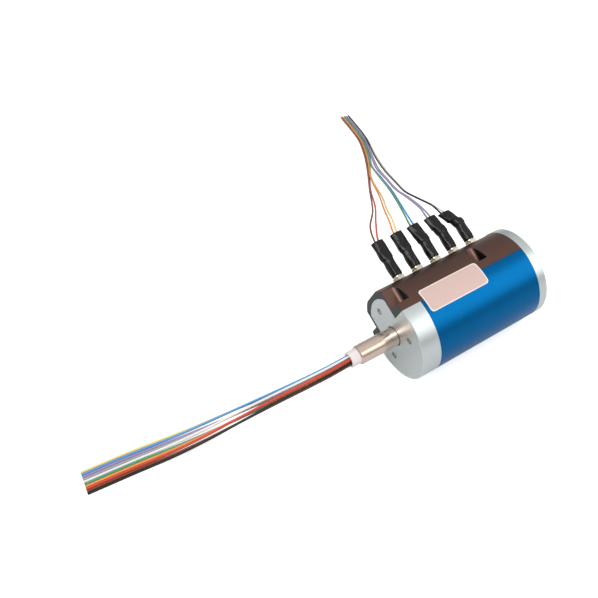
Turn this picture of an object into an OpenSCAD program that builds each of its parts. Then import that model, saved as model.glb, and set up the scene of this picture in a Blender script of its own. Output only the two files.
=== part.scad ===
// Capsule slip ring, ten circuits.
// The rotation axis is X: the shaft points to -X and the body runs to +X from the flange's front face.
// Lengths are in millimetres. The body lies on its side, with its five lead outlets tilted up.

/* [Body] */
// Outside diameter of the body
body_d = 44; // [42:0.5:50]
// Thickness of the front flange
flange_t = 9.8; // [8.8:0.1:13]
// Length of the blue shell between the flange and the rear cap
shell_len = 58.6; // [56:0.2:70]
// Wall of the blue shell
shell_wall = 1.5; // [1:0.1:2]
// Height above the axis at which the shell meets the brush housing
split_h = 5.2; // [4:0.2:7]
// Height above the axis of the flat that carries the lead outlets
flat_h = 20.7; // [19.6:0.1:20.9]
// Bevel on the outer edges of both ends
rim_bevel = 0.4; // [0.2:0.1:0.8]

/* [Rear cap] */
// Thickness of the rear cap's disc
cap_t = 4.8; // [4.4:0.2:6.4]
// Thickness of the cap behind the rear bearing
cap_floor = 2.4; // [2:0.2:3.2]
// Radius of the cap's inner boss around the rear bearing
cap_boss_r = 10.2; // [9.6:0.1:11]

/* [Flange] */
// Width of the tongue that stands up into the housing
tongue_w = 22; // [20:0.5:23.5]
// Radius of the tongue's top edge about the axis
tongue_r = 18.3; // [17:0.1:18.8]
// Radius of the tongue's top corners
tongue_corner = 1.2; // [0.6:0.1:2.4]
// Clearance of the flange's opening around the shaft
lip_gap = 0.4; // [0.3:0.05:0.8]
// Pitch circle of the three mounting holes
mount_pcd = 26; // [24:0.5:29]
// Tapping diameter of the mounting holes
mount_hole_d = 3.3; // [2.5:0.1:3.4]
// Depth of the mounting holes
mount_hole_depth = 7; // [5:0.5:8]
// Width of the two arms that tie the flange to the rear cap
arm_w = 5; // [4:0.5:5.5]
// Depth of the two arms below the split
arm_h = 8.2; // [6:0.2:10]

/* [Shaft] */
// Diameter of the shaft and of both bearings' bores
shaft_d = 9; // [8.6:0.1:9.4]
// Length of the shaft in front of the flange
shaft_out = 20; // [14:1:30]
// Outside diameter of the lead sleeve, which is also the shaft's bore
sleeve_d = 7.4; // [7:0.1:7.5]
// Wall of the lead sleeve
sleeve_wall = 1; // [0.6:0.1:1.05]
// Length of the sleeve outside the shaft
sleeve_out = 4.4; // [3:0.2:7]
// Length of the sleeve inside the shaft
sleeve_in = 12; // [8:1:18]
// Width of the slot through which the leads reach the rings
lead_slot_w = 2.4; // [2:0.1:3]

/* [Bearings] */
// Outside diameter of a bearing
bearing_od = 17; // [16.4:0.1:17.6]
// Width of a bearing
bearing_w = 5; // [4.4:0.1:5.6]
// Diameter of a ball
ball_d = 2.4; // [2.2:0.1:2.6]
// Number of balls in a bearing
ball_count = 9; // [7:1:10]
// Half of the opening between the two rings of a bearing
race_half_gap = 0.75; // [0.7:0.05:0.85]
// Half of the cage's radial thickness
cage_half_t = 0.55; // [0.45:0.05:0.6]
// Width of a cage
cage_w = 3.4; // [3.2:0.1:4]

/* [Rotor] */
// Radius of the barrel's core under the contact rings
core_r = 8.2; // [7.6:0.1:8.6]
// Radius of the barriers between the contact rings
barrier_r = 10.4; // [10:0.1:10.8]
// Clearance between the barrel's end and the rear bearing
barrel_clear = 3; // [2.6:0.1:4]
// Width of a contact ring
ring_w = 3; // [2.4:0.1:3.2]
// Outside radius of a contact ring
ring_r = 9.6; // [9.4:0.1:9.8]
// Depth of a contact ring's groove
groove_depth = 0.5; // [0.3:0.1:0.7]
// Width of a contact ring's groove
groove_w = 1.4; // [1:0.1:1.8]
// Radius of the hubs and spacer that clamp the bearings
hub_r = 5.6; // [5.2:0.1:6]
// Length of the spacer behind the front bearing
spacer_len = 2.2; // [1.8:0.1:2.6]
// Height of the wave washer
wave_h = 0.8; // [0.6:0.1:1.2]
// Thickness of the wave washer's strip
wave_t = 0.3; // [0.2:0.05:0.4]
// Thickness of a circlip
circlip_t = 0.8; // [0.6:0.1:0.8]
// Depth of a circlip's groove in the shaft
circlip_groove = 0.35; // [0.2:0.05:0.5]

/* [Brushes] */
// Radius of a brush wire
wire_r = 0.25; // [0.15:0.05:0.35]
// Length of a brush wire below the axis
wire_tail = 3; // [2:0.5:4]
// Thickness of the brush block
block_t = 3.8; // [3:0.1:4.4]
// Width of the brush block
block_w = 23; // [22:0.2:23.4]
// Thickness of the housing's top over the brush block
top_wall = 3.7; // [3:0.1:4]

/* [Housing screws] */
// Distance of the housing screws from the middle
screw_v = 15.4; // [15:0.1:16]
// Distance of the front housing screws from the front face
screw_front = 4.4; // [4:0.1:5.4]
// Distance between the front and the second housing screws
screw_step = 44.2; // [38:0.2:48]
// Radius of the round end of a screw pocket
pocket_r = 2.6; // [2.5:0.1:2.8]
// Thickness of the housing's foot under a screw pocket
foot_t = 4; // [3:0.2:5]
// Thread diameter of the screws
screw_d = 2.5; // [2:0.1:2.6]
// Head diameter of the screws
head_d = 4.7; // [4:0.1:4.9]
// Height of a countersunk head
head_t = 1.2; // [1:0.1:1.5]
// Length of a housing screw
screw_len = 10; // [8:0.5:11]
// Length of a rear cap screw
cap_screw_len = 10; // [8:0.5:12]

/* [Lead outlets] */
// Distance of the first outlet from the front face
outlet_z = 17.1; // [16:0.1:18]
// Distance between two outlets
outlet_pitch = 10.8; // [9:0.1:11]
// Width across the flats of an outlet's nut
nut_af = 5.5; // [5:0.1:6.5]
// Height of an outlet's nut
nut_t = 2.5; // [2:0.1:3.5]
// Radius of the collar over the nut and of the stem below it
collar_r = 2.1; // [1.9:0.05:2.3]
// Height of the collar over the nut
collar_t = 1.2; // [1:0.1:1.6]
// Radius of an outlet's bore
outlet_bore_r = 1.4; // [1.2:0.05:1.5]
// Outside radius of the lower part of a boot
boot_r = 2.75; // [2.6:0.05:3.1]
// Height above the axis at which a boot bends
boot_bend_h = 33; // [31:0.5:35]
// Length of a boot above its bend
boot_top_len = 9.8; // [8:0.2:12]
// Outside radius of a boot's oval end
oval_r = 2.1; // [2:0.05:2.4]
// Half of the distance between the round ends of a boot's oval
oval_half = 1.2; // [1:0.1:1.6]
// Wall of a boot
boot_wall = 0.6; // [0.4:0.05:0.65]

/* [Seal label] */
// Distance of the label from the front face
label_z = 11.7; // [10:0.1:14]
// Length of the label along the body
label_len = 32.3; // [26:0.1:36]
// Width of the label around the body, as an angle
label_angle = 31; // [24:1:36]
// Angle of the label's middle from the outlets
label_mid = 79; // [74:1:90]
// Thickness of the label
label_t = 0.12; // [0.08:0.02:0.3]

/* [Hidden] */
$fn = 96;

// Angle of the outlets above the horizontal
terminal_tilt = 29;
// Play between parts that slide together
fit_gap = 0.1;
// Clearance of a ball in its races and its cage
ball_gap = 0.05;
// Clearance of a part that turns past a fixed one
turn_gap = 0.4;
// Overlap that makes a cut go clean through
cut = 1;

// Radii and stations that several parts share
body_r = body_d / 2;
shell_end = flange_t + shell_len;
body_end = shell_end + cap_t;
shaft_r = shaft_d / 2;
front_seat_z = flange_t - bearing_w;
rear_seat_z = body_end - cap_floor - bearing_w;
pitch_r = (shaft_d + bearing_od) / 4;
cap_recess = cap_floor - 0.8;
lip_r = shaft_r + lip_gap;
clip_r = shaft_r + 0.9;
clip_room_r = clip_r + turn_gap;
undercut_w = 0.8;
undercut_t = 0.35;
shaft_end = body_end - 1.2;

// Rotor stations
circuits = 10;
barrel_z = flange_t + spacer_len + wave_h;
barrel_end = rear_seat_z - barrel_clear;
end_extra = 1.2;
barrier_w = (barrel_end - barrel_z - circuits * ring_w - 2 * end_extra) / (circuits + 1);
end_barrier_w = barrier_w + end_extra;
ring_pitch = ring_w + barrier_w;
ring_z0 = barrel_z + end_barrier_w;
function ring_z(k) = ring_z0 + ring_w / 2 + k * ring_pitch;

// Housing and brush stations
cavity_z = flange_t + 1.2;
cavity_end = rear_seat_z + 0.2;
cavity_top = flat_h - top_wall;
cavity_w = block_w + 2 * fit_gap;
block_bottom = cavity_top - block_t;
wire_v = ring_r - groove_depth + wire_r + fit_gap;

// Screw stations
foot_h = split_h + foot_t;
arm_v = screw_v - arm_w / 2;
arm_mid_h = split_h - arm_h / 2;
cap_screw_at = [[arm_mid_h, screw_v], [arm_mid_h, -screw_v], [split_h + 6, 14.2], [split_h + 6, -14.2]];
housing_screw_z = [screw_front, screw_front + screw_step];

// Outlet stations
outlets = 5;
nut_top = flat_h + nut_t;
collar_top = nut_top + collar_t;
boot_base = nut_top + 0.7;
boot_lean = [0, 0, 6, 10, 27];
function outlet_at(i) = outlet_z + i * outlet_pitch;

// Leads
rotor_lead_r = 0.55;
stator_lead_r = 0.47;
lead_sides = 8;
lead_colours = ["saddlebrown", "crimson", "orange", "khaki", "seagreen", "dodgerblue",
    "mediumpurple", "silver", "#202020", "whitesmoke"];

// Middle line of the ten rotor leads, from the sleeve's mouth to the table
rotor_line = [[-20, 0, 0], [-28, 0, -0.2], [-36.5, 0.6, -1.1], [-47, 3.2, -4], [-57.5, 6.8, -8],
    [-68, 10.3, -11.9], [-78.5, 13.3, -15.2], [-90, 16.2, -18.2], [-104, 19.2, -20.4], [-121, 22.2, -21.3], [-141, 24.4, -21.3]];
// How far the bundle has opened out from a round pack to one flat layer at each point
rotor_open = [0, 0, 0.04, 0.12, 0.24, 0.4, 0.58, 0.76, 0.92, 1, 1];
rotor_pack = [[5.76, 191.25], [4.48, 146.25], [3.2, 236.25], [1.92, 180], [0.64, 101.25],
    [-0.64, 281.25], [-1.92, 0], [-3.2, 56.25], [-4.48, 326.25], [-5.76, 11.25]];
pack_r = 2.05;
pack_core = 0.62;
rotor_lead_in = 4;

// Middle line of the ten stator leads after they have joined
stator_line = [[45, 79, 12], [55, 95, 6], [66, 113, -1], [76.5, 131.5, -7.5], [86.5, 152, -13.5],
    [93, 171, -18], [98, 190.5, -21]];
// Free points of each outlet's pair of leads, before the pair joins the bundle
free_left = [[[18, 44, 25], [29, 58, 20.5]],
    [[28, 43, 25], [33, 54, 22], [42.6, 72, 14.5]],
    [[36.4, 42, 25], [40.4, 53, 23.4], [47.8, 71, 17.4], [57, 92.5, 7.6]],
    [[45.4, 42, 25], [46.4, 54, 23.4], [49.8, 68, 18], [57.6, 88, 9.4], [67, 110.5, -1]],
    [[52.6, 41.4, 23.4], [50.6, 51, 22.8], [51.6, 62.6, 19.2], [57.6, 78.6, 12.4], [67, 102.5, 2.2], [77.6, 127.5, -6.6]]];
free_right = [[[22.6, 46, 24], [32.6, 61, 19]],
    [[30, 43, 24.4], [34.4, 53.4, 21.4], [43.8, 71.4, 14]],
    [[37.8, 42, 24.6], [41.6, 52.6, 22.6], [49, 70.4, 16.6], [58, 92, 7]],
    [[46.8, 42, 24.4], [47.8, 54, 22.6], [51, 67.6, 17], [58.8, 87.4, 8.4], [68.2, 110, -1.4]],
    [[53.8, 42, 22.6], [52, 51.4, 21.8], [53, 62.6, 18], [58.8, 78, 11.4], [68.2, 102, 1.6], [78.6, 127, -7]]];
lane_pitch = 0.64;
lane_rise = 0.84;

// Directions: first along the outlets, second across them, third along the axis
module placed() {
    rotate([terminal_tilt, 0, 0])
        rotate([90, 0, 90])
            children();
}

function row_of(p) = [p[2],
    p[0] * cos(terminal_tilt) - p[1] * sin(terminal_tilt),
    p[0] * sin(terminal_tilt) + p[1] * cos(terminal_tilt)];

// Turns children so that they are drawn upward along the outlets' direction
module upward() {
    rotate([0, 90, 0])
        children();
}

// Disc with a bevel at its first and its second end
module bevelled_disc(r, z0, z1, b0, b1) {
    rotate_extrude()
        polygon([[0, z0], [r - b0, z0], [r, z0 + b0], [r, z1 - b1], [r - b1, z1], [0, z1]]);
}

// Tube from radius r0 to radius r1
module tube(r0, r1, z0, z1) {
    translate([0, 0, z0])
        rotate_extrude()
            polygon([[r0, 0], [r1, 0], [r1, z1 - z0], [r0, z1 - z0]]);
}

module bore(r, z0, z1) {
    translate([0, 0, z0])
        cylinder(r = r, h = z1 - z0);
}

// The half space between two heights above the axis
module height_band(h0, h1, z0, z1) {
    translate([h0, -body_d, z0])
        cube([h1 - h0, 2 * body_d, z1 - z0]);
}

// Outline of the flange's tongue, grown all round by a gap
module tongue_outline(gap) {
    corner_r = tongue_corner + gap;
    side = tongue_w / 2 + gap;
    corner_v = tongue_w / 2 - tongue_corner;
    corner_h = sqrt(pow(tongue_r - tongue_corner, 2) - pow(corner_v, 2));
    polygon([[0, -side], [corner_h, -side], [corner_h, side], [0, side]]);
    intersection() {
        circle(r = tongue_r + gap);
        polygon([[0, 0], [2 * corner_h, -2 * corner_v], [2 * corner_h, 2 * corner_v]]);
    }
    for (s = [-1, 1])
        translate([corner_h, s * corner_v])
            circle(r = corner_r);
}

// Countersunk screw with its head's top at the origin, drawn downward
module csk_screw(length) {
    difference() {
        union() {
            translate([0, 0, -head_t])
                cylinder(r1 = screw_d / 2, r2 = head_d / 2, h = head_t);
            translate([0, 0, -length])
                cylinder(r = screw_d / 2, h = length - head_t);
        }
        translate([0, 0, -head_t * 0.75])
            cylinder(d = screw_d * 0.7, h = head_t, $fn = 6);
    }
}

// The space that such a screw takes
module csk_hole(length) {
    translate([0, 0, -head_t])
        cylinder(r1 = screw_d / 2, r2 = head_d / 2, h = head_t);
    translate([0, 0, -length])
        cylinder(r = screw_d / 2, h = length - head_t + 0.01);
}

module each_housing_screw() {
    for (s = [-1, 1], z = housing_screw_z)
        translate([foot_h, s * screw_v, z])
            upward()
                children();
}

module each_cap_screw() {
    for (p = cap_screw_at)
        translate([p[0], p[1], body_end])
            children();
}

module each_outlet() {
    for (i = [0 : outlets - 1])
        translate([0, 0, outlet_at(i)])
            upward()
                children();
}

module flange_arms() {
    for (s = [-1, 1])
        translate([split_h - arm_h, s * screw_v - arm_w / 2, flange_t - 0.5])
            cube([arm_h, arm_w, shell_len + 0.5]);
}

module mounting_holes() {
    for (a = [0, 120, 240])
        rotate([0, 0, a])
            translate([mount_pcd / 2, 0, -cut])
                cylinder(d = mount_hole_d, h = mount_hole_depth + cut);
}

module front_flange() {
    color("#c3c9c9") placed() difference() {
        union() {
            intersection() {
                bevelled_disc(body_r, 0, flange_t, rim_bevel, 0);
                height_band(-body_d, split_h, -cut, flange_t + cut);
            }
            linear_extrude(flange_t)
                tongue_outline(0);
            flange_arms();
        }
        bore(lip_r, -cut, front_seat_z + cut);
        bore(clip_room_r, front_seat_z - circlip_t - turn_gap, front_seat_z + cut);
        bore(bearing_od / 2, front_seat_z, flange_t + cut);
        mounting_holes();
        each_housing_screw()
            csk_hole(screw_len);
        each_cap_screw()
            csk_hole(cap_screw_len);
    }
}

module blue_shell() {
    color("#0a78c2") placed() difference() {
        intersection() {
            bore(body_r, flange_t, shell_end);
            height_band(-body_d, split_h - fit_gap, flange_t, shell_end);
        }
        bore(body_r - shell_wall, flange_t - cut, shell_end + cut);
    }
}

// Pockets over the housing screws, open to the body's outside
module screw_pockets() {
    top = body_r - foot_h + cut;
    out = body_r - screw_v + cut;
    for (s = [-1, 1]) {
        for (z = housing_screw_z)
            translate([foot_h, s * screw_v, z])
                upward()
                    cylinder(r = pocket_r, h = top);
        translate([foot_h, s > 0 ? screw_v - pocket_r : -screw_v - out, -cut])
            cube([top, out + pocket_r, screw_front + cut]);
        translate([foot_h, s > 0 ? screw_v : -screw_v - out, screw_front - cut])
            cube([top, out, pocket_r + cut]);
        translate([foot_h, s > 0 ? screw_v : -screw_v - out, screw_front + screw_step - pocket_r])
            cube([top, out, 2 * pocket_r]);
    }
}

module brush_housing() {
    color("#5d4a42") placed() difference() {
        intersection() {
            bevelled_disc(body_r, 0, shell_end, rim_bevel, 0);
            height_band(split_h, flat_h, -cut, shell_end + cut);
        }
        translate([0, 0, -cut])
            linear_extrude(flange_t + fit_gap + cut)
                tongue_outline(fit_gap);
        translate([0, -cavity_w / 2, cavity_z])
            cube([cavity_top, cavity_w, cavity_end - cavity_z]);
        bore(hub_r + turn_gap, flange_t, cavity_z + cut);
        bore(cap_boss_r + fit_gap, rear_seat_z - fit_gap, shell_end + cut);
        screw_pockets();
        each_housing_screw()
            csk_hole(screw_len);
        each_cap_screw()
            csk_hole(cap_screw_len);
        each_outlet()
            translate([0, 0, cavity_top - cut])
                cylinder(r = collar_r + fit_gap / 2, h = top_wall + 2 * cut);
    }
}

module rear_cap() {
    color("#8f9494") placed() difference() {
        union() {
            bevelled_disc(body_r, shell_end, body_end, 0, rim_bevel);
            bore(cap_boss_r, rear_seat_z, shell_end + 0.5);
        }
        bore(bearing_od / 2, rear_seat_z - cut, rear_seat_z + bearing_w);
        bore(clip_room_r, rear_seat_z, rear_seat_z + bearing_w + cap_recess);
        each_cap_screw()
            csk_hole(cap_screw_len);
    }
}

module seal_label() {
    color("#dcc9c2") placed()
        rotate([0, 0, label_mid - label_angle / 2])
            rotate_extrude(angle = label_angle)
                translate([body_r, label_z])
                    square([label_t, label_len]);
}

module housing_screws() {
    color("#7c7c7a") placed() each_housing_screw() csk_screw(screw_len);
}

module cap_screws() {
    color("#7c7c7a") placed() each_cap_screw() csk_screw(cap_screw_len);
}

// Hexagonal nut, collar and stem of each outlet, bored for its two leads
module lead_outlets() {
    color("#cfc4b6") placed() each_outlet() difference() {
        union() {
            translate([0, 0, flat_h])
                cylinder(d = nut_af / cos(30), h = nut_t, $fn = 6);
            translate([0, 0, cavity_top])
                cylinder(r = collar_r, h = collar_top - cavity_top);
        }
        translate([0, 0, cavity_top - cut])
            cylinder(r = outlet_bore_r, h = collar_top - cavity_top + 2 * cut);
    }
}

// Two round ends joined by straight sides, lying along the body
module oval(r) {
    for (s = [-1, 1])
        translate([s * oval_half, 0])
            circle(r = r);
    square([2 * oval_half, 2 * r], center = true);
}

// Shrunk sleeve over one outlet: round below, flattened and bent above
module boot(i) {
    collar_fit = collar_r + fit_gap / 2;
    color("#161616") placed() translate([0, 0, outlet_at(i)]) upward() difference() {
        union() {
            translate([0, 0, boot_base])
                cylinder(r = boot_r, h = boot_bend_h - boot_base);
            translate([0, 0, boot_bend_h])
                rotate([0, boot_lean[i], 0])
                    translate([0, 0, -1.2])
                        linear_extrude(boot_top_len + 1.2)
                            oval(oval_r);
        }
        translate([0, 0, boot_base - cut])
            cylinder(r = collar_fit, h = boot_bend_h - boot_base + cut);
        translate([0, 0, boot_bend_h])
            rotate([0, boot_lean[i], 0])
                translate([0, 0, -1.2])
                    linear_extrude(boot_top_len + 1.2 + cut)
                        oval(oval_r - boot_wall);
    }
}

module brush_block() {
    color("#3b6b4c") placed()
        translate([block_bottom, -block_w / 2, barrel_z + 0.5])
            cube([block_t, block_w, barrel_end - barrel_z - 1]);
}

module brush_wires() {
    color("gold") placed()
        for (k = [0 : circuits - 1], s = [-1, 1])
            translate([-wire_tail, s * wire_v, ring_z(k)])
                upward()
                    cylinder(r = wire_r, h = wire_tail + block_bottom, $fn = 24);
}

// Outer ring of a bearing, with its ball groove
module outer_ring(z) {
    color("#b9bcc0") placed() difference() {
        tube(pitch_r + race_half_gap, bearing_od / 2, z, z + bearing_w);
        race_groove(z);
    }
}

module inner_ring(z) {
    color("#b9bcc0") placed() difference() {
        tube(shaft_r, pitch_r - race_half_gap, z, z + bearing_w);
        race_groove(z);
    }
}

module race_groove(z) {
    translate([0, 0, z + bearing_w / 2])
        rotate_extrude()
            translate([pitch_r, 0])
                circle(r = ball_d / 2 + ball_gap, $fn = 48);
}

module balls(z) {
    color("silver") placed()
        for (k = [0 : ball_count - 1])
            rotate([0, 0, k * 360 / ball_count])
                translate([pitch_r, 0, z + bearing_w / 2])
                    sphere(d = ball_d, $fn = 32);
}

module cage(z) {
    color("#b98c3c") placed() difference() {
        tube(pitch_r - cage_half_t, pitch_r + cage_half_t, z + (bearing_w - cage_w) / 2, z + (bearing_w + cage_w) / 2);
        for (k = [0 : ball_count - 1])
            rotate([0, 0, k * 360 / ball_count])
                translate([pitch_r - 2 * cage_half_t, 0, z + bearing_w / 2])
                    upward()
                        cylinder(r = ball_d / 2 + ball_gap, h = 4 * cage_half_t, $fn = 32);
    }
}

// Hollow shaft with the undercut of its ground end, its circlip grooves and the slot for the leads
module shaft() {
    groove_r = shaft_r - circlip_groove;
    color("#cfcac4") placed() difference() {
        bevelled_disc(shaft_r, -shaft_out, shaft_end, rim_bevel, rim_bevel);
        bore(sleeve_d / 2, -shaft_out - cut, barrel_end);
        tube(shaft_r - undercut_t, shaft_r + cut, 0, undercut_w);
        tube(groove_r, shaft_r + cut, front_seat_z - circlip_t, front_seat_z);
        tube(groove_r, shaft_r + cut, rear_seat_z + bearing_w, rear_seat_z + bearing_w + circlip_t);
        translate([0, -lead_slot_w / 2, ring_z(0)])
            cube([shaft_d, lead_slot_w, ring_z(circuits - 1) - ring_z(0)]);
    }
}

module wire_sleeve() {
    color("#e9e2df") placed()
        tube(sleeve_d / 2 - sleeve_wall, sleeve_d / 2, -shaft_out - sleeve_out, -shaft_out + sleeve_in);
}

// Insulating barrel: barriers between the rings and a hub against the rear bearing
module rotor_barrel() {
    lands = [for (k = [0 : circuits - 1])
        let (z = ring_z(k))
            each [[barrier_r, z - ring_w / 2], [core_r, z - ring_w / 2],
                [core_r, z + ring_w / 2], [barrier_r, z + ring_w / 2]]];
    color("#2e3133") placed() rotate_extrude()
        polygon(concat([[shaft_r, barrel_z], [barrier_r, barrel_z]], lands,
            [[barrier_r, barrel_end], [hub_r, barrel_end], [hub_r, rear_seat_z], [shaft_r, rear_seat_z]]));
}

module contact_rings() {
    groove_r = ring_r - groove_depth;
    color("#e0b64a") placed()
        for (k = [0 : circuits - 1])
            translate([0, 0, ring_z(k)])
                rotate_extrude()
                    polygon([[core_r, -ring_w / 2], [ring_r, -ring_w / 2], [ring_r, -groove_w / 2],
                        [groove_r, -groove_w / 2], [groove_r, groove_w / 2], [ring_r, groove_w / 2],
                        [ring_r, ring_w / 2], [core_r, ring_w / 2]]);
}

module bearing_spacer() {
    color("#b9bcc0") placed() tube(shaft_r, hub_r, flange_t, flange_t + spacer_len);
}

// Ring of strip bent into three waves, which presses the bearings together
module wave_washer() {
    steps = 36;
    swing = (wave_h - wave_t) / 2;
    z_mid = flange_t + spacer_len + wave_h / 2;
    inner = shaft_r + fit_gap;
    outer = hub_r;
    pts = [for (i = [0 : steps - 1])
        let (a = i * 360 / steps, z = z_mid + swing * cos(3 * a))
            each [[inner * cos(a), inner * sin(a), z - wave_t / 2], [outer * cos(a), outer * sin(a), z - wave_t / 2],
                [outer * cos(a), outer * sin(a), z + wave_t / 2], [inner * cos(a), inner * sin(a), z + wave_t / 2]]];
    sides = [for (i = [0 : steps - 1], k = [0 : 3])
        let (n = 4 * ((i + 1) % steps), m = 4 * i, l = (k + 1) % 4)
            each [[m + k, n + k, m + l], [n + k, n + l, m + l]]];
    color("#a8abae") placed() polyhedron(points = pts, faces = sides);
}

// Open ring that snaps into a groove of the shaft
module circlip(z) {
    color("#8c8f92") placed() difference() {
        tube(shaft_r - circlip_groove, clip_r, z, z + circlip_t);
        translate([0, -shaft_r / 3, z - cut])
            cube([2 * shaft_r, shaft_r / 1.5, circlip_t + 2 * cut]);
    }
}

function unit(v) = v / norm(v);

// Point between b and c on the curve through a, b, c and d
function between(a, b, c, d, s) = 0.5 * (2 * b + s * (c - a)
    + s * s * (2 * a - 5 * b + 4 * c - d) + s * s * s * (3 * b - a - 3 * c + d));

// Smooth line through the points of p, with each stretch cut in half
function smooth(p) = let (n = len(p) - 1) [
    for (i = [0 : n - 1])
        each [p[i], between(i > 0 ? p[i - 1] : 2 * p[0] - p[1], p[i], p[i + 1],
            i < n - 1 ? p[i + 2] : 2 * p[n] - p[n - 1], 0.5)],
    p[n]];

// Round tube along a line of points
module tube_along(line, r) {
    last = len(line) - 1;
    n = lead_sides;
    pts = [for (i = [0 : last])
        let (t = unit(line[min(i + 1, last)] - line[max(i - 1, 0)]),
            u = unit(cross([0, 0, 1], t)),
            w = cross(t, u))
            for (k = [0 : n - 1])
                line[i] + r * (cos(360 * k / n) * u + sin(360 * k / n) * w)];
    sides = [for (i = [0 : last - 1], k = [0 : n - 1])
        let (a = i * n, b = a + n, l = (k + 1) % n)
            each [[b + k, b + l, a + l], [b + k, a + l, a + k]]];
    polyhedron(points = pts, faces = concat(sides,
        [[for (k = [0 : n - 1]) k]], [[for (k = [n - 1 : -1 : 0]) last * n + k]]));
}

// Horizontal direction to the left of a line at its point i
function left_of(line, i) = let (last = len(line) - 1,
    d = line[min(i + 1, last)] - line[max(i - 1, 0)])
    unit([-d[1], d[0], 0]);

// Place of rotor lead k beside the middle line, across and up, at opening w
function rotor_shift(k, w) = let (r = (k == 3 || k == 6) ? pack_core : pack_r,
    a = rotor_pack[k][1])
    [(1 - w) * -r * cos(a) + w * rotor_pack[k][0], (1 - w * w) * r * sin(a)];

function rotor_lead_line(k) = let (joined = [for (i = [0 : len(rotor_line) - 1])
    let (o = rotor_shift(k, rotor_open[i]), l = left_of(rotor_line, i))
        rotor_line[i] - o[0] * l + [0, 0, o[1]]])
    concat([joined[0] + [rotor_lead_in - rotor_line[0][0], 0, 0]], smooth(joined));

module rotor_lead(k, c) {
    color(lead_colours[c]) tube_along(rotor_lead_line(k), rotor_lead_r);
}

// Place of stator lead j where its boot ends
function boot_mouth(j) = let (i = floor(j / 2), s = j % 2 == 0 ? -1 : 1, a = boot_lean[i])
    row_of([boot_bend_h + boot_top_len * cos(a), 0, outlet_at(i) - boot_top_len * sin(a) + s * 0.9]);

function stator_lead_line(j) = let (i = floor(j / 2), s = j % 2 == 0 ? -1 : 1, x = outlet_at(i),
    free = s < 0 ? free_left[i] : free_right[i],
    joined = [for (k = [i : len(stator_line) - 1])
        stator_line[k] + (4.5 - j) * lane_pitch * left_of(stator_line, k) - [0, 0, s * lane_rise / 2]])
    concat([row_of([cavity_top, 0, x + s * 0.6])],
        smooth(concat([row_of([collar_top, 0, x + s * 0.6]), row_of([boot_bend_h, 0, x + s * 0.7]), boot_mouth(j)],
            free, joined)));

module stator_lead(j) {
    color(lead_colours[j]) tube_along(stator_lead_line(j), stator_lead_r);
}

front_flange();
blue_shell();
brush_housing();
rear_cap();
seal_label();
housing_screws();
cap_screws();
lead_outlets();
boot(0);  // boot_1
boot(1);  // boot_2
boot(2);  // boot_3
boot(3);  // boot_4
boot(4);  // boot_5
brush_block();
brush_wires();
outer_ring(front_seat_z);  // front_outer_ring
inner_ring(front_seat_z);  // front_inner_ring
balls(front_seat_z);  // front_balls
cage(front_seat_z);  // front_cage
outer_ring(rear_seat_z);  // rear_outer_ring
inner_ring(rear_seat_z);  // rear_inner_ring
balls(rear_seat_z);  // rear_balls
cage(rear_seat_z);  // rear_cage
shaft();
wire_sleeve();
rotor_barrel();
contact_rings();
bearing_spacer();
wave_washer();
circlip(front_seat_z - circlip_t);  // front_circlip
circlip(rear_seat_z + bearing_w);  // rear_circlip
stator_lead(0);  // stator_lead_brown
stator_lead(1);  // stator_lead_red
stator_lead(2);  // stator_lead_orange
stator_lead(3);  // stator_lead_yellow
stator_lead(4);  // stator_lead_green
stator_lead(5);  // stator_lead_blue
stator_lead(6);  // stator_lead_violet
stator_lead(7);  // stator_lead_grey
stator_lead(8);  // stator_lead_black
stator_lead(9);  // stator_lead_white
rotor_lead(0, 3);  // rotor_lead_yellow
rotor_lead(1, 5);  // rotor_lead_blue
rotor_lead(2, 6);  // rotor_lead_violet
rotor_lead(3, 7);  // rotor_lead_grey
rotor_lead(4, 9);  // rotor_lead_white
rotor_lead(5, 4);  // rotor_lead_green
rotor_lead(6, 2);  // rotor_lead_orange
rotor_lead(7, 1);  // rotor_lead_red
rotor_lead(8, 0);  // rotor_lead_brown
rotor_lead(9, 8);  // rotor_lead_black
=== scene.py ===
"""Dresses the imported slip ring: finishes, leads, boots, outlets, seal label, lights and camera.

All lengths in the classes are in millimetres, in the part's own frame: the rotation axis is X, the
front face of the flange is at x = 0 and the body runs to +X. One factor turns them into metres.
"""

from __future__ import annotations

import logging
import math
from dataclasses import dataclass, field
from enum import Enum
from typing import Callable, Sequence

import bmesh
import bpy
from mathutils import Matrix, Vector

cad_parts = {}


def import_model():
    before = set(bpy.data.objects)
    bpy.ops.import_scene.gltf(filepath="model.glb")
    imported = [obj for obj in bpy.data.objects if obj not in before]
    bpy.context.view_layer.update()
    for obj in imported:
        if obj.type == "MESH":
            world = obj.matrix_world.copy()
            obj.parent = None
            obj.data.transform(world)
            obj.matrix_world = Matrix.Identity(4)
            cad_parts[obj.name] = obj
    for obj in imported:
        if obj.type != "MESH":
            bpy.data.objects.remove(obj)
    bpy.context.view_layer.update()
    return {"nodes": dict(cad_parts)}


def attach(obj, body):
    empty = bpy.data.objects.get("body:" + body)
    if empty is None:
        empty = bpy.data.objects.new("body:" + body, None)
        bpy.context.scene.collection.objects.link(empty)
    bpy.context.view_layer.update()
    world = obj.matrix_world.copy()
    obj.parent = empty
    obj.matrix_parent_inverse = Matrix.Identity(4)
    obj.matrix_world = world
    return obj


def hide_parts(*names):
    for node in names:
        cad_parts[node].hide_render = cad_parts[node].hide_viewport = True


LOG = logging.getLogger("slip_ring")
MM = 0.001
OUTLET_TILT = math.radians(29.0)
OUTLET_COUNT = 5
OUTLET_FIRST = 17.1
OUTLET_PITCH = 10.8
FIXED_LEAD_D = 0.94
TURNING_LEAD_D = 1.1
BODY_R = 22.0

Point = tuple[float, float, float]


class Grain(Enum):
    """How a surface was made, which sets the pattern that it shows."""

    TURNED = "turned"
    BLASTED = "blasted"
    MOULDED = "moulded"
    DRAWN = "drawn"


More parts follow.
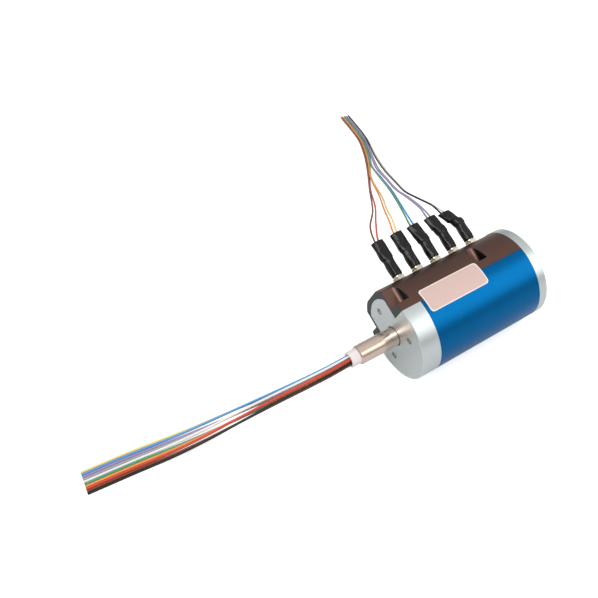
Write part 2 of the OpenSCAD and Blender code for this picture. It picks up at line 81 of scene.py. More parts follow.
# ---------------------------------------------------------------------------------------------
# Small tools


def from_hex(code: str) -> tuple[float, float, float, float]:
    """Turns an sRGB hex value into a linear colour.

    Args:
        code: The colour as "#rrggbb".

    Returns:
        Linear red, green, blue and an alpha of one.
    """
    parts = [int(code[i : i + 2], 16) / 255 for i in (1, 3, 5)]
    linear = [c / 12.92 if c <= 0.04045 else ((c + 0.055) / 1.055) ** 2.4 for c in parts]
    return (linear[0], linear[1], linear[2], 1.0)


def row_of(height: float, across: float, along: float) -> Vector:
    """Turns a place beside the outlets into the part's frame.

    Args:
        height: Distance from the axis along the outlets' direction.
        across: Distance sideways from the outlets' middle plane.
        along: Distance from the front face.

    Returns:
        The point in the part's frame, in millimetres.
    """
    c, s = math.cos(OUTLET_TILT), math.sin(OUTLET_TILT)
    return Vector((along, height * c - across * s, height * s + across * c))


def add_node(
    tree: bpy.types.NodeTree,
    kind: str,
    settings: dict[str, object] | None = None,
    links: dict[str | int, bpy.types.NodeSocket] | None = None,
) -> bpy.types.Node:
    """Adds a node with its settings and links.

    Args:
        tree: The node tree that gets it.
        kind: The node's type name.
        settings: Values by attribute name or by input name.
        links: Sockets by the input, by name or number, that they feed.

    Returns:
        The new node.
    """
    node = tree.nodes.new(kind)
    for key, value in (settings or {}).items():
        if isinstance(key, str) and hasattr(node, key) and key not in node.inputs:
            setattr(node, key, value)
        else:
            node.inputs[key].default_value = value
    for key, socket in (links or {}).items():
        tree.links.new(socket, node.inputs[key])
    return node


def set_stops(node: bpy.types.Node, stops: Sequence[tuple[float, object]]) -> None:
    """Writes the stops of a colour ramp.

    Args:
        node: The colour ramp node.
        stops: Place and linear colour of each stop.
    """
    ramp = node.color_ramp
    while len(ramp.elements) < len(stops):
        ramp.elements.new(0.5)
    for element, (place, colour) in zip(ramp.elements, stops):
        element.position = place
        element.color = colour


# ---------------------------------------------------------------------------------------------
# Finishes


@dataclass(frozen=True)
class Finish:
    """One real finish and how it shows.

    The grain's size and depth are in millimetres. A turned surface has rings about the rotation
    axis, so its pattern depends on the place along X alone.
    """

    name: str
    colour: str
    metallic: float = 0.0
    roughness: float = 0.4
    ior: float = 1.5
    grain: Grain = Grain.MOULDED
    grain_mm: float = 0.4
    depth_mm: float = 0.002
    shade: float = 0.06
    rough_swing: float = 0.05
    coat: float = 0.0
    see_into: float = 0.0
    stretch: float = 0.0

    def material(self) -> bpy.types.Material:
        """Builds the finish as a material, once.

        Returns:
            The material.
        """
        found = bpy.data.materials.get(self.name)
        if found:
            return found
        made = bpy.data.materials.new(self.name)
        made.use_nodes = True
        tree = made.node_tree
        tree.nodes.clear()
        place = self.place(tree)
        noise = add_node(
            tree,
            "ShaderNodeTexNoise",
            {"noise_dimensions": "3D", "Scale": 1.0 / self.grain_mm, "Detail": 3.0, "Roughness": 0.6},
            {"Vector": place},
        )
        cloud = add_node(
            tree,
            "ShaderNodeTexNoise",
            {"Scale": 0.12 / self.grain_mm, "Detail": 2.0},
            {"Vector": place},
        )
        blend = add_node(
            tree,
            "ShaderNodeMath",
            {"operation": "MULTIPLY_ADD", 1: 0.5},
            {0: noise.outputs["Fac"], 2: self.half(tree, cloud.outputs["Fac"])},
        )
        colour = self.tinted(tree, blend.outputs[0])
        rough = add_node(
            tree,
            "ShaderNodeMapRange",
            {"From Min": 0.3, "From Max": 0.7, "To Min": max(0.02, self.roughness - self.rough_swing),
             "To Max": self.roughness + self.rough_swing},
            {"Value": noise.outputs["Fac"]},
        )
        bump = add_node(
            tree,
            "ShaderNodeBump",
            {"Strength": 1.0, "Distance": self.depth_mm * MM},
            {"Height": noise.outputs["Fac"]},
        )
        settings: dict[str, object] = {
            "Metallic": self.metallic,
            "Coat Weight": self.coat,
            "Coat Roughness": 0.08,
            "Subsurface Weight": self.see_into,
            "Subsurface Radius": (0.0006, 0.0005, 0.0004),
            "Anisotropic": self.stretch,
        }
        if not self.metallic:
            settings["IOR"] = self.ior
        links = {"Base Color": colour, "Roughness": rough.outputs[0], "Normal": bump.outputs[0]}
        if self.stretch:
            ring = add_node(tree, "ShaderNodeTangent", {"direction_type": "RADIAL", "axis": "X"})
            links["Tangent"] = ring.outputs[0]
        shader = add_node(tree, "ShaderNodeBsdfPrincipled", settings, links)
        add_node(tree, "ShaderNodeOutputMaterial", None, {"Surface": shader.outputs[0]})
        return made

    def place(self, tree: bpy.types.NodeTree) -> bpy.types.NodeSocket:
        """Adds the pattern's coordinates, in millimetres.

        Args:
            tree: The material's tree.

        Returns:
            The coordinates' socket.
        """
        across = 1.0 / MM
        scale = {
            Grain.TURNED: (across, across * 0.004, across * 0.004),
            Grain.DRAWN: (across * 0.15, across, across),
        }.get(self.grain, (across, across, across))
        where = add_node(tree, "ShaderNodeTexCoord")
        mapping = add_node(tree, "ShaderNodeMapping", {"Scale": scale}, {"Vector": where.outputs["Object"]})
        return mapping.outputs[0]

    @staticmethod
    def half(tree: bpy.types.NodeTree, socket: bpy.types.NodeSocket) -> bpy.types.NodeSocket:
        """Halves a value.

        Args:
            tree: The material's tree.
            socket: The value.

        Returns:
            Half of it.
        """
        return add_node(tree, "ShaderNodeMath", {"operation": "MULTIPLY", 1: 0.5}, {0: socket}).outputs[0]

    def tinted(self, tree: bpy.types.NodeTree, amount: bpy.types.NodeSocket) -> bpy.types.NodeSocket:
        """Adds the colour, a little lighter and darker along the grain.

        Args:
            tree: The material's tree.
            amount: The pattern, from zero to one.

        Returns:
            The colour's socket.
        """
        base = from_hex(self.colour)
        low = tuple(c * (1 - self.shade) for c in base[:3]) + (1.0,)
        high = tuple(min(1.0, c * (1 + self.shade) + self.shade * 0.02) for c in base[:3]) + (1.0,)
        ramp = add_node(tree, "ShaderNodeValToRGB", None, {"Fac": amount})
        set_stops(ramp, [(0.3, low), (0.7, high)])
        return ramp.outputs["Color"]


@dataclass(frozen=True)
class PaintedEndReflectionFinish(Finish):
    """A finish whose front end face gets a painted reflection colour."""

    painted_end_reflection_colour: str = "#3d4643"

    def tinted(self, tree: bpy.types.NodeTree, amount: bpy.types.NodeSocket) -> bpy.types.NodeSocket:
        """Adds the colour, with a painted reflection colour on faces that point to the front.

        Args:
            tree: The material's tree.
            amount: The pattern, from zero to one.

        Returns:
            The colour's socket.
        """
        side = super().tinted(tree, amount)
        where = add_node(tree, "ShaderNodeTexCoord")
        split = add_node(tree, "ShaderNodeSeparateXYZ", None, {0: where.outputs["Normal"]})
        # Painted reflection: faces that point to the front get the cooler reflected colour.
        front = add_node(
            tree,
            "ShaderNodeMapRange",
            {"From Min": -0.75, "From Max": -0.95, "To Min": 0.0, "To Max": 1.0},
            {"Value": split.outputs["X"]},
        )
        mix = add_node(
            tree, "ShaderNodeMix", {"data_type": "RGBA"}, {0: front.outputs[0], 6: side}
        )
        mix.inputs[7].default_value = from_hex(self.painted_end_reflection_colour)
        return mix.outputs[2]


# Clear anodised aluminium, bead blasted: a soft grey sheen with a fine even tooth.
CLEAR_ANODISED = Finish("clear_anodised_aluminium", "#cfd6d6", 1.0, 0.36, grain=Grain.BLASTED,
                        grain_mm=0.35, depth_mm=0.004, shade=0.03)
# Turned aluminium, blue anodised: dyed metal whose fine turning rings stretch the highlight.
BLUE_ANODISED = Finish("blue_anodised_turned_aluminium", "#07639c", 1.0, 0.34, grain=Grain.TURNED,
                       grain_mm=0.5, depth_mm=0.0012, shade=0.05, stretch=0.3)
# Milled aluminium, dark anodised and satin; its warm cast and the cooler colour on the milled end face are painted
# reflections.
DARK_ANODISED = PaintedEndReflectionFinish("dark_anodised_aluminium_painted_reflections", "#6b5148", 1.0, 0.38,
                                grain=Grain.BLASTED, grain_mm=0.5, depth_mm=0.003, shade=0.05)
# Stainless steel bar, turned and polished: bright with thin rings; its warm tint is a painted reflection of warm
# light.
TURNED_STEEL = Finish("turned_stainless_steel", "#d8c4b6", 1.0, 0.2, grain=Grain.TURNED,
                      grain_mm=0.25, depth_mm=0.001, shade=0.04, stretch=0.3)
# Hardened bearing steel, ground: a near mirror.
BEARING_STEEL = Finish("ground_bearing_steel", "#c3c6ca", 1.0, 0.14, grain=Grain.TURNED,
                       grain_mm=0.2, depth_mm=0.001, shade=0.03)
# Zinc plated screw steel: grey and slightly rough.
SCREW_STEEL = Finish("zinc_plated_steel", "#8c8c88", 1.0, 0.34, grain_mm=0.3, depth_mm=0.003)
# Spring steel strip, oiled.
SPRING_STEEL = Finish("spring_steel_strip", "#77797b", 1.0, 0.3, grain_mm=0.3, depth_mm=0.002)
# Nickel plated brass: warm grey, softly polished.
NICKEL = Finish("nickel_plated_brass", "#cfc4b4", 1.0, 0.22, grain_mm=0.4, depth_mm=0.002, shade=0.05)
# Brass sheet, pressed.
BRASS = Finish("pressed_brass", "#b98f46", 1.0, 0.3, grain_mm=0.3, depth_mm=0.002)
# Hard gold plate over the ring's copper.
GOLD = Finish("hard_gold_plate", "#e0b45c", 1.0, 0.2, grain=Grain.TURNED, grain_mm=0.2, depth_mm=0.001)
# Adhesive lined heat shrink sleeve: black and glossy, with soft wrinkles.
SHRINK_SLEEVE = Finish("black_heat_shrink_sleeve", "#080808", 0.0, 0.16, 1.4, grain_mm=1.4,
                       depth_mm=0.16, shade=0.3, rough_swing=0.08)
# Matt grey film of the seal label, whose pink cast is painted warm light, and the clear lacquer edge that is left
# around its print.
LABEL_FILM = Finish("grey_label_film_painted_warm_light", "#d6b9b0", 0.0, 0.42, 1.45, grain_mm=0.6, depth_mm=0.003,
                    shade=0.03)
LABEL_EDGE = Finish("pale_label_edge", "#efe2dd", 0.0, 0.35, 1.45, grain_mm=0.6, depth_mm=0.002, shade=0.02)
# Cut thread in the flange: bare bright aluminium.
CUT_THREAD = Finish("bright_cut_aluminium_thread", "#f0eeea", 1.0, 0.2, grain_mm=0.3, depth_mm=0.002)
# PTFE tube: milky white and waxy.
PTFE = Finish("milky_ptfe_tube", "#eae1e1", 0.0, 0.38, 1.38, Grain.DRAWN, 0.5, 0.003, 0.02, see_into=0.25)
# Glass filled plastic for the barrel, moulded.
BARREL_PLASTIC = Finish("glass_filled_black_plastic", "#2b2d2f", 0.0, 0.5, 1.55, grain_mm=0.3)
# Glass laminate of the brush block.
LAMINATE = Finish("green_glass_laminate", "#2f6a49", 0.0, 0.45, 1.55, grain_mm=0.5, shade=0.12)

LEAD_HEX = {
    "brown": "#7a4630",
    "red": "#d8473c",
    "orange": "#ef9a4a",
    "yellow": "#f3d98c",
    "green": "#4f9d78",
    "blue": "#5b9fd6",
    "violet": "#a08fc0",
    "grey": "#a8a4a8",
    "black": "#1b191c",
    "white": "#f1efec",
}


def insulation(colour: str) -> Finish:
    """The finish of one lead: extruded fluoropolymer, smooth and slightly see-through.

    Args:
        colour: The lead's colour name.

    Returns:
        The finish.
    """
    return Finish(f"extruded_insulation_{colour}", LEAD_HEX[colour], 0.0, 0.3, 1.4, Grain.DRAWN,
                  0.8, 0.003, 0.06, see_into=0.12)


# ---------------------------------------------------------------------------------------------
# Meshes


def mesh_piece(name: str, points: Sequence[Vector], faces: Sequence[Sequence[int]], body: str,
               finish: Finish, smooth: bool = True) -> bpy.types.Object:
    """Makes a piece from points in millimetres.

    Args:
        name: The piece's name.
        points: Its points, in millimetres in the part's frame.
        faces: Its faces, as indices into the points.
        body: The body that it rides on.
        finish: Its finish.
        smooth: True for smooth shading.

    Returns:
        The new object.
    """
    mesh = bpy.data.meshes.new(name)
    mesh.from_pydata([p * MM for p in points], [], faces)
    mesh.validate()
    sheet = bmesh.new()
    sheet.from_mesh(mesh)
    bmesh.ops.recalc_face_normals(sheet, faces=sheet.faces)
    sheet.to_mesh(mesh)
    sheet.free()
    for polygon in mesh.polygons:
        polygon.use_smooth = smooth
    mesh.materials.append(finish.material())
    piece = bpy.data.objects.new(name, mesh)
    bpy.context.scene.collection.objects.link(piece)
    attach(piece, body)
    return piece


def loft(rings: Sequence[Sequence[Vector]], closed_ends: bool = True) -> tuple[list[Vector], list[list[int]]]:
    """Joins rings of equal size into a skin.

    Args:
        rings: The rings, in order.
        closed_ends: True to close the first and last ring with a face each.

    Returns:
        Points and faces.
    """
    size = len(rings[0])
    points = [p for ring in rings for p in ring]
    faces = []
    for i in range(len(rings) - 1):
        for k in range(size):
            a, b = i * size + k, i * size + (k + 1) % size
            faces.append([a, b, b + size, a + size])
    if closed_ends:
        faces.append(list(range(size))[::-1])
        faces.append([(len(rings) - 1) * size + k for k in range(size)])
    return points, faces


# ---------------------------------------------------------------------------------------------
# Leads


@dataclass
class LeadRoute:
    """The line of one lead: a straight start inside the part, then a smooth run."""

    start: Vector
    run: list[Vector]

    def handles(self, i: int) -> tuple[Vector, Vector]:
        """The spline handles at one point of the run.

        Args:
            i: The point's number in the run.

        Returns:
            The handle before and the handle after the point.
        """
        here, last = self.run[i], len(self.run) - 1
        before = self.run[i - 1] if i else here * 2 - self.run[1]
        after = self.run[i + 1] if i < last else here * 2 - self.run[last - 1]
        pull = (after - before) / 6
        return here - pull, here + pull

    def curve(self, name: str, diameter: float) -> bpy.types.Object:
        """Makes the lead as a round curve.

        Args:
            name: The piece's name.
            diameter: The lead's diameter in millimetres.

        Returns:
            The curve object.
        """
        data = bpy.data.curves.new(name, "CURVE")
        data.dimensions = "3D"
        data.bevel_depth = diameter / 2 * MM
        data.bevel_resolution = 3
        data.resolution_u = 6
        data.use_fill_caps = True
        line = data.splines.new("BEZIER")
        line.bezier_points.add(len(self.run))
        nodes = [(self.start, self.start, self.start.lerp(self.run[0], 0.33))]
        nodes += [(p, *self.handles(i)) for i, p in enumerate(self.run)]
        for k, (point, left, right) in enumerate(nodes):
            knot = line.bezier_points[k]
            knot.handle_left_type = knot.handle_right_type = "FREE"
            knot.co, knot.handle_left, knot.handle_right = point * MM, left * MM, right * MM
        first = line.bezier_points[1]
        first.handle_left = first.co.lerp(line.bezier_points[0].co, 0.33)
        piece = bpy.data.objects.new(name, data)
        bpy.context.scene.collection.objects.link(piece)
        return piece

    def length(self) -> float:
        """The line's length in metres, along its Bezier stretches."""
        total = (self.run[0] - self.start).length
        for i in range(len(self.run) - 1):
            a, b = self.run[i], self.handles(i)[1]
            c, d = self.handles(i + 1)[0], self.run[i + 1]
            old = a
            for k in range(1, 13):
                t = k / 12
                new = a * (1 - t) ** 3 + b * 3 * t * (1 - t) ** 2 + c * 3 * t * t * (1 - t) + d * t**3
                total += (new - old).length
                old = new
        return total * MM


def left_of(line: Sequence[Vector], i: int) -> Vector:
    """The level direction to the left of a line at its point i.

    Args:
        line: The line's points.
        i: The point's number.

    Returns:
        A unit vector.
    """
    d = line[min(i + 1, len(line) - 1)] - line[max(i - 1, 0)]
    return Vector((-d.y, d.x, 0.0)).normalized()


@dataclass
class RotorLeads:
    """Ten leads that leave the shaft as a round bundle and open out to a flat layer."""

    order: tuple[str, ...] = ("yellow", "blue", "violet", "grey", "white", "green", "orange",
                              "red", "brown", "black")
    line: tuple[Point, ...] = (
        (-20, 0, 0), (-28, 0, -0.2), (-36.5, 0.6, -1.1), (-47, 3.2, -4), (-57.5, 6.8, -8), (-68, 10.3, -11.9),
        (-78.5, 13.3, -15.2), (-90, 16.2, -18.2), (-104, 19.2, -20.4), (-121, 22.2, -21.3), (-141, 24.4, -21.3),
    )
    opened: tuple[float, ...] = (0, 0, 0.04, 0.12, 0.24, 0.4, 0.58, 0.76, 0.92, 1, 1)
    pack: tuple[tuple[float, float], ...] = (
        (5.76, 191.25), (4.48, 146.25), (3.2, 236.25), (1.92, 180), (0.64, 101.25),
        (-0.64, 281.25), (-1.92, 0), (-3.2, 56.25), (-4.48, 326.25), (-5.76, 11.25),
    )
    pack_r: float = 2.05
    pack_core: float = 0.62
    start_x: float = 4.0
    mouth_x: float = -24.4

    def shift(self, k: int, w: float) -> tuple[float, float]:
        """Where a lead lies beside the middle line.

        Args:
            k: The lead's number.
            w: How far the bundle has opened out, from zero to one.

        Returns:
            The shift across and the shift up.
        """
        r = self.pack_core if k in (3, 6) else self.pack_r
        angle = math.radians(self.pack[k][1])
        return (
            (1 - w) * -r * math.cos(angle) + w * self.pack[k][0],
            (1 - w * w) * r * math.sin(angle),
        )

    def route(self, k: int) -> LeadRoute:
        """The line of one lead.

        Args:
            k: The lead's number.

        Returns:
            Its route.
        """
        line = [Vector(p) for p in self.line]
        run = []
        for i, middle in enumerate(line):
            across, up = self.shift(k, self.opened[i])
            run.append(middle - left_of(line, i) * across + Vector((0, 0, up)))
        return LeadRoute(run[0] + Vector((self.start_x - line[0].x, 0, 0)), run)

    def build(self) -> None:
        for k, colour in enumerate(self.order):
            route = self.route(k)
            lead = route.curve(f"turning_lead_{colour}", TURNING_LEAD_D)
            lead.data.materials.append(insulation(colour).material())
            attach(lead, "rotor")
            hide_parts(f"rotor_lead_{colour}")
            route.length()
            LOG.info("turning lead %s: %.0f mm", colour, route.length() / MM)


@dataclass
class StatorLeads:
    """Five pairs of leads that leave the boots and join in a flat bundle."""

    order: tuple[str, ...] = ("brown", "red", "orange", "yellow", "green", "blue", "violet",
                              "grey", "black", "white")
    line: tuple[Point, ...] = ((45, 79, 12), (55, 95, 6), (66, 113, -1), (76.5, 131.5, -7.5),
                               (86.5, 152, -13.5), (93, 171, -18), (98, 190.5, -21))
    free: tuple[tuple[Point, ...], ...] = (
        ((18, 44, 25), (29, 58, 20.5)),
        ((22.6, 46, 24), (32.6, 61, 19)),
        ((28, 43, 25), (33, 54, 22), (42.6, 72, 14.5)),
        ((30, 43, 24.4), (34.4, 53.4, 21.4), (43.8, 71.4, 14)),
        ((36.4, 42, 25), (40.4, 53, 23.4), (47.8, 71, 17.4), (57, 92.5, 7.6)),
        ((37.8, 42, 24.6), (41.6, 52.6, 22.6), (49, 70.4, 16.6), (58, 92, 7)),
        ((45.4, 42, 25), (46.4, 54, 23.4), (49.8, 68, 18), (57.6, 88, 9.4), (67, 110.5, -1)),
        ((46.8, 42, 24.4), (47.8, 54, 22.6), (51, 67.6, 17), (58.8, 87.4, 8.4), (68.2, 110, -1.4)),
        ((52.6, 41.4, 23.4), (50.6, 51, 22.8), (51.6, 62.6, 19.2), (57.6, 78.6, 12.4), (67, 102.5, 2.2),
         (77.6, 127.5, -6.6)),
        ((53.8, 42, 22.6), (52, 51.4, 21.8), (53, 62.6, 18), (58.8, 78, 11.4), (68.2, 102, 1.6), (78.6, 127, -7)),
    )
    lane_pitch: float = 0.64
    lane_rise: float = 0.84
    block_top: float = 17.0
    collar_top: float = 24.4
    bend_h: float = 33.0
    top_len: float = 9.8
    lean: tuple[float, ...] = (0, 0, 6, 10, 27)

    def mouth(self, j: int) -> Vector:
        """Where a lead leaves its boot.

        Args:
            j: The lead's number.

        Returns:
            The point, in millimetres.
        """
        i, side = j // 2, 1 if j % 2 else -1
        a = math.radians(self.lean[i])
        along = OUTLET_FIRST + OUTLET_PITCH * i - self.top_len * math.sin(a) + side * 0.9
        return row_of(self.bend_h + self.top_len * math.cos(a), 0, along)

    def route(self, j: int) -> LeadRoute:
        """The line of one lead.

        Args:
            j: The lead's number.

        Returns:
            Its route.
        """
        i, side = j // 2, 1 if j % 2 else -1
        x = OUTLET_FIRST + OUTLET_PITCH * i
        line = [Vector(p) for p in self.line]
        joined = [
            line[k] + left_of(line, k) * (4.5 - j) * self.lane_pitch - Vector((0, 0, side * self.lane_rise / 2))
            for k in range(i, len(line))
        ]
        run = [row_of(self.collar_top, 0, x + side * 0.6), row_of(self.bend_h, 0, x + side * 0.7), self.mouth(j)]
        run += [Vector(p) for p in self.free[j]] + joined
        return LeadRoute(row_of(self.block_top, 0, x + side * 0.6), run)

    def build(self) -> None:
        for j, colour in enumerate(self.order):
            route = self.route(j)
            lead = route.curve(f"fixed_lead_{colour}", FIXED_LEAD_D)
            lead.data.materials.append(insulation(colour).material())
            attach(lead, "stator")
            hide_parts(f"stator_lead_{colour}")
            route.length()
            LOG.info("fixed lead %s: %.0f mm", colour, route.length() / MM)


# ---------------------------------------------------------------------------------------------
# Boots


@dataclass
class ShrinkBoot:
    """One shrunk sleeve: round over the collar, wider and flattened over the pair of leads."""

    number: int
    lean: float
    base_h: float = 23.9
    bend_h: float = 33.0
    top_len: float = 9.8
    sides: int = 40
    wall: float = 0.55

    def centre(self, s: float) -> tuple[float, float]:
        """The sleeve's middle at a distance above its base.

        Args:
            s: Distance along the sleeve, in millimetres.

        Returns:
            The place along the body and the height above the axis.
        """
        x = OUTLET_FIRST + OUTLET_PITCH * (self.number - 1)
        low = self.bend_h - self.base_h
        if s <= low:
            return x, self.base_h + s
        rise = s - low
        reach = 3.5
        full = math.radians(self.lean)
        bent = full * min(1.0, rise / reach)
        slide = rise * math.sin(bent * (0.5 if rise < reach else 1.0))
        return x - slide, self.bend_h + rise * math.cos(bent)

    def half_sizes(self, s: float) -> tuple[float, float]:
        """Half of the sleeve's width along and across the body at a distance above its base.

        Args:
            s: Distance along the sleeve, in millimetres.

        Returns:
            The two half widths.
        """
        stations = ((0.0, 2.55, 2.55), (0.6, 2.75, 2.7), (5.0, 2.8, 2.75), (8.0, 2.7, 2.6), (8.8, 2.75, 2.6),
                    (9.4, 3.15, 2.75), (11.0, 3.3, 2.5), (14.0, 3.25, 2.2), (17.0, 3.3, 2.1), (18.9, 3.3, 2.0))
        for (s0, a0, b0), (s1, a1, b1) in zip(stations, stations[1:]):
            if s <= s1:
                t = (s - s0) / (s1 - s0)
                t = t * t * (3 - 2 * t)
                return a0 + (a1 - a0) * t, b0 + (b1 - b0) * t
        return stations[-1][1], stations[-1][2]

    def ring(self, s: float, inset: float) -> list[Vector]:
        """One ring of the sleeve.

        Args:
            s: Distance along the sleeve, in millimetres.
            inset: How far inside the outer skin the ring lies.

        Returns:
            The ring's points.
        """
        along, height = self.centre(s)
        a, b = self.half_sizes(s)
        points = []
        for k in range(self.sides):
            t = 2 * math.pi * k / self.sides
            crease = 0.07 * math.sin(3 * t + 0.9 * self.number + 0.45 * s) + 0.06 * math.sin(5 * t - 0.8 * s)
            crease += 0.05 * math.sin(9 * t + 1.7 * self.number) * (0.6 + 0.4 * math.sin(0.6 * s))
            fade = min(1.0, s / 2.0)
            points.append(
                row_of(
                    height,
                    (b - inset + crease * fade) * math.sin(t),
                    along + (a - inset + crease * fade) * math.cos(t),
                )
            )
        return points

    def build(self) -> bpy.types.Object:
        """Makes the sleeve.

        Returns:
            The sleeve's object.
        """
        total = self.bend_h - self.base_h + self.top_len
        steps = 34
        outer = [self.ring(total * i / steps, 0.0) for i in range(steps + 1)]
        inner = [self.ring(total * (1 - i / steps), self.wall) for i in range(0, steps + 1, 2)]
        rings = outer + [self.ring(total, 0.15)] + inner
        points, faces = loft(rings, closed_ends=False)
        size, last = self.sides, len(rings) - 1
        for k in range(size):
            n = (k + 1) % size
            faces.append([last * size + k, last * size + n, n, k])
        piece = mesh_piece(f"shrink_sleeve_{self.number}", points, faces, "stator", SHRINK_SLEEVE)
        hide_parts(f"boot_{self.number}")
        LOG.info("sleeve %d made", self.number)
        return piece


# ---------------------------------------------------------------------------------------------
# Label and threads


@dataclass
class SealLabel:
    """A thin film with rounded corners and a pale edge, bent over the joint of shell and housing."""

    start: float = 11.7
    length: float = 32.3
    middle_deg: float = 79.0
    width_deg: float = 31.0
    thickness: float = 0.12
    corner: float = 1.6
    edge: float = 0.55
    columns: int = 40
    rows: int = 28

    def inset(self, u: float) -> float:
        """How far the rounded corners draw the film's sides in at one station.

        Args:
            u: Distance from the film's nearer end, in millimetres.

        Returns:
            The distance in millimetres.
        """
        if u >= self.corner:
            return 0.0
        return self.corner - math.sqrt(max(0.0, self.corner**2 - (self.corner - u) ** 2))

    def sheet(self, name: str, margin: float, radius: float, thick: float, finish: Finish) -> bpy.types.Object:
        """Makes one closed film.

        Args:
            name: The piece's name.
            margin: Distance of its outline inside the label's.
            radius: Radius of its inner face about the axis.
            thick: Its thickness.
            finish: Its finish.

        Returns:
            The new object.
        """
        half = math.radians(self.width_deg / 2) * BODY_R - margin
        span = self.length - 2 * margin
        stations = [span * (0.5 - 0.5 * math.cos(math.pi * i / self.columns)) for i in range(self.columns + 1)]
        rings = []
        for u in stations:
            reach = half - self.inset(min(u, span - u))
            outline = []
            for r, order in ((radius + thick, 1), (radius, -1)):
                for k in range(self.rows + 1):
                    w = order * reach * (2 * k / self.rows - 1)
                    a = math.radians(self.middle_deg) + w / BODY_R
                    outline.append(row_of(r * math.cos(a), r * math.sin(a), self.start + margin + u))
            rings.append(outline)
        points, faces = loft(rings)
        return mesh_piece(name, points, faces, "stator", finish, smooth=False)

    def build(self) -> None:
        """Makes the film and the printed field on it."""
        film = self.sheet("label_film", 0.0, BODY_R, self.thickness * 0.7, LABEL_EDGE)
        face = self.sheet("label_face", self.edge, BODY_R + self.thickness * 0.7, self.thickness * 0.3, LABEL_FILM)
        for piece in (film, face):
            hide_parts("seal_label")
        LOG.info("label made")


@dataclass
class TappedThreads:
    """Thread ridges in the three tapped holes of the flange."""

    circle_r: float = 13.0
    hole_r: float = 1.65
    ridge: float = 0.22
    pitch: float = 0.7
    turns: int = 8
    sides: int = 24

    def build(self) -> None:
        """Makes the ridges of all three holes as one piece."""
        points: list[Vector] = []
        faces: list[list[int]] = []
        for hole in range(3):
            a = 2 * math.pi * hole / 3
            height, across = self.circle_r * math.cos(a), self.circle_r * math.sin(a)
            first = len(points)
            steps = self.turns * self.sides
            for i in range(steps + 1):
                t = 2 * math.pi * i / self.sides
                depth = 0.25 + self.pitch * i / self.sides
                for r, d in ((self.hole_r, -0.3), (self.hole_r - self.ridge, 0.0), (self.hole_r, 0.3)):
                    points.append(row_of(height + r * math.cos(t), across + r * math.sin(t), depth + d * self.pitch))
            for i in range(steps):
                for k in range(3):
                    n = (k + 1) % 3
                    p, q = first + 3 * i, first + 3 * (i + 1)
                    faces.append([p + k, p + n, q + n, q + k])
            faces.append([first, first + 1, first + 2])
            faces.append([first + 3 * steps + k for k in (2, 1, 0)])
        piece = mesh_piece("flange_threads", points, faces, "stator", CUT_THREAD)
        LOG.info("threads made")


# ---------------------------------------------------------------------------------------------
# The stage


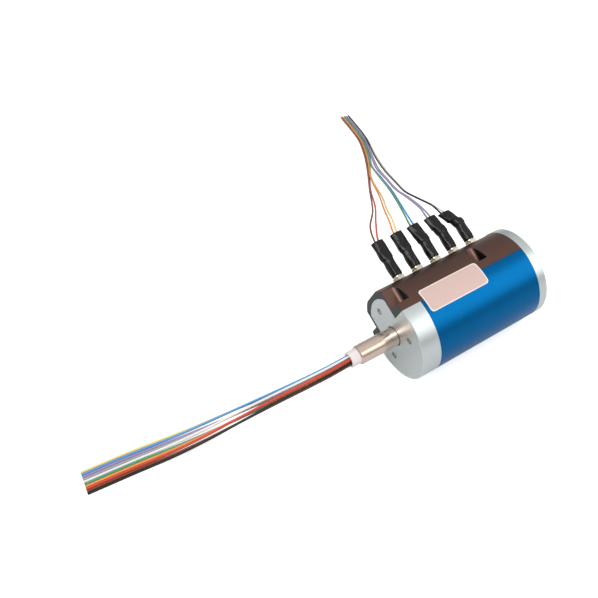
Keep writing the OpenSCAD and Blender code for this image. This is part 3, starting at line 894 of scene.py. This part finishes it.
@dataclass
class Studio:
    """Pale floor, soft lamps and the camera."""

    camera_at: Point = (-141.4, -196.0, 268.6)
    azimuth: float = -35.9
    elevation: float = 45.45
    lens: float = 48.2
    shift: tuple[float, float] = (-0.1605, 0.0017)
    floor_z: float = -22.05

    def camera(self) -> None:
        """Makes the camera at the angle from which the part is usually shown."""
        data = bpy.data.cameras.new("camera")
        data.lens = self.lens
        data.sensor_width = 36.0
        data.shift_x, data.shift_y = self.shift
        data.clip_start, data.clip_end = 0.01, 20.0
        camera = bpy.data.objects.new("camera", data)
        bpy.context.scene.collection.objects.link(camera)
        a, e = math.radians(self.azimuth), math.radians(self.elevation)
        back = Vector((math.sin(a) * math.cos(e), -math.cos(a) * math.cos(e), math.sin(e)))
        camera.location = Vector(self.camera_at) * MM
        camera.rotation_mode = "QUATERNION"
        camera.rotation_quaternion = (-back).to_track_quat("-Z", "Y")
        bpy.context.scene.camera = camera

    def floor(self) -> None:
        """Makes the white floor, which keeps the part's soft shadow."""
        mesh = bpy.data.meshes.new("floor")
        reach, z = 3.0, self.floor_z * MM
        mesh.from_pydata([(-reach, -reach, z), (reach, -reach, z), (reach, reach, z), (-reach, reach, z)], [],
                         [(0, 1, 2, 3)])
        made = bpy.data.materials.new("white_paper_floor")
        made.use_nodes = True
        tree = made.node_tree
        tree.nodes.clear()
        paper = add_node(tree, "ShaderNodeBsdfDiffuse", {"Color": (0.8, 0.8, 0.8, 1.0)})
        glow = add_node(tree, "ShaderNodeEmission", {"Color": (1, 1, 1, 1), "Strength": 0.62})
        both = add_node(tree, "ShaderNodeAddShader", None, {0: paper.outputs[0], 1: glow.outputs[0]})
        path = add_node(tree, "ShaderNodeLightPath")
        seen = add_node(tree, "ShaderNodeMath", {"operation": "MAXIMUM"},
                        {0: path.outputs["Is Camera Ray"], 1: path.outputs["Is Transmission Ray"]})
        pick = add_node(tree, "ShaderNodeMixShader", None,
                        {0: seen.outputs[0], 1: paper.outputs[0], 2: both.outputs[0]})
        add_node(tree, "ShaderNodeOutputMaterial", None, {"Surface": pick.outputs[0]})
        mesh.materials.append(made)
        floor = bpy.data.objects.new("floor", mesh)
        bpy.context.scene.collection.objects.link(floor)

    def world(self) -> None:
        """Makes a white room: full white to the eye, softer and graded as light."""
        world = bpy.data.worlds.new("white_room")
        bpy.context.scene.world = world
        world.use_nodes = True
        tree = world.node_tree
        tree.nodes.clear()
        way = add_node(tree, "ShaderNodeTexCoord")
        split = add_node(tree, "ShaderNodeSeparateXYZ", None, {0: way.outputs["Generated"]})
        rise = add_node(tree, "ShaderNodeMapRange",
                        {"From Min": -0.1, "From Max": 1.0, "To Min": 0.3, "To Max": 0.9},
                        {"Value": split.outputs["Z"]})
        light = add_node(tree, "ShaderNodeBackground", {"Color": (1, 1, 1, 1)}, {"Strength": rise.outputs[0]})
        white = add_node(tree, "ShaderNodeBackground", {"Color": (1, 1, 1, 1), "Strength": 1.0})
        path = add_node(tree, "ShaderNodeLightPath")
        pick = add_node(tree, "ShaderNodeMixShader", None,
                        {0: path.outputs["Is Camera Ray"], 1: light.outputs[0], 2: white.outputs[0]})
        add_node(tree, "ShaderNodeOutputWorld", None, {"Surface": pick.outputs[0]})

    @staticmethod
    def lamp(name: str, at: Point, aim: Point, size: float, power: float, colour: str = "#ffffff") -> None:
        """Adds one soft lamp.

        Args:
            name: The lamp's name.
            at: Its place in metres.
            aim: The point that it faces, in metres.
            size: The side of its square, in metres.
            power: Its power in watts.
            colour: Its colour as an sRGB hex value.
        """
        data = bpy.data.lights.new(name, "AREA")
        data.shape, data.size, data.energy = "SQUARE", size, power
        data.color = from_hex(colour)[:3]
        lamp = bpy.data.objects.new(name, data)
        bpy.context.scene.collection.objects.link(lamp)
        lamp.location = at
        lamp.rotation_mode = "QUATERNION"
        lamp.rotation_quaternion = (Vector(aim) - Vector(at)).to_track_quat("-Z", "Y")

    def build(self) -> None:
        """Makes floor, room, lamps and camera."""
        bpy.context.scene.view_settings.view_transform = "Standard"
        self.camera()
        self.floor()
        self.world()
        self.lamp("key_softbox", (-0.5, -0.25, 0.7), (0.02, 0.02, 0.0), 0.5, 3.0)
        self.lamp("fill_softbox", (0.5, -0.5, 0.5), (0.02, 0.0, 0.0), 0.6, 1.6)


# ---------------------------------------------------------------------------------------------
# The part

CAD_FINISHES: dict[str, Finish] = {
    "front_flange": CLEAR_ANODISED, "rear_cap": CLEAR_ANODISED, "blue_shell": BLUE_ANODISED,
    "brush_housing": DARK_ANODISED, "seal_label": LABEL_FILM, "housing_screws": SCREW_STEEL,
    "cap_screws": SCREW_STEEL, "lead_outlets": NICKEL, "brush_block": LAMINATE, "brush_wires": GOLD,
    "front_outer_ring": BEARING_STEEL, "rear_outer_ring": BEARING_STEEL,
    "front_inner_ring": BEARING_STEEL, "rear_inner_ring": BEARING_STEEL,
    "front_balls": BEARING_STEEL, "rear_balls": BEARING_STEEL, "front_cage": BRASS, "rear_cage": BRASS,
    "shaft": TURNED_STEEL, "wire_sleeve": PTFE, "rotor_barrel": BARREL_PLASTIC, "contact_rings": GOLD,
    "bearing_spacer": SCREW_STEEL, "wave_washer": SPRING_STEEL, "front_circlip": SPRING_STEEL,
    "rear_circlip": SPRING_STEEL,
}


def dress_nodes(nodes: dict[str, bpy.types.Object]) -> None:
    """Gives each CAD node that stays its finish.

    Args:
        nodes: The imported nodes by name.
    """
    for name, finish in CAD_FINISHES.items():
        piece = nodes[name]
        piece.data.materials.clear()
        piece.data.materials.append(finish.material())
        LOG.info("%s: %s", name, finish.name)


def main() -> None:
    """Builds the scene in order."""
    logging.basicConfig(level=logging.INFO, format="%(name)s: %(message)s")
    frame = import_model()
    Studio().build()
    RotorLeads().build()
    StatorLeads().build()
    for number, lean in enumerate(StatorLeads.lean, 1):
        ShrinkBoot(number, lean).build()
    SealLabel().build()
    TappedThreads().build()
    dress_nodes(frame["nodes"])


if __name__ == "__main__":
    main()
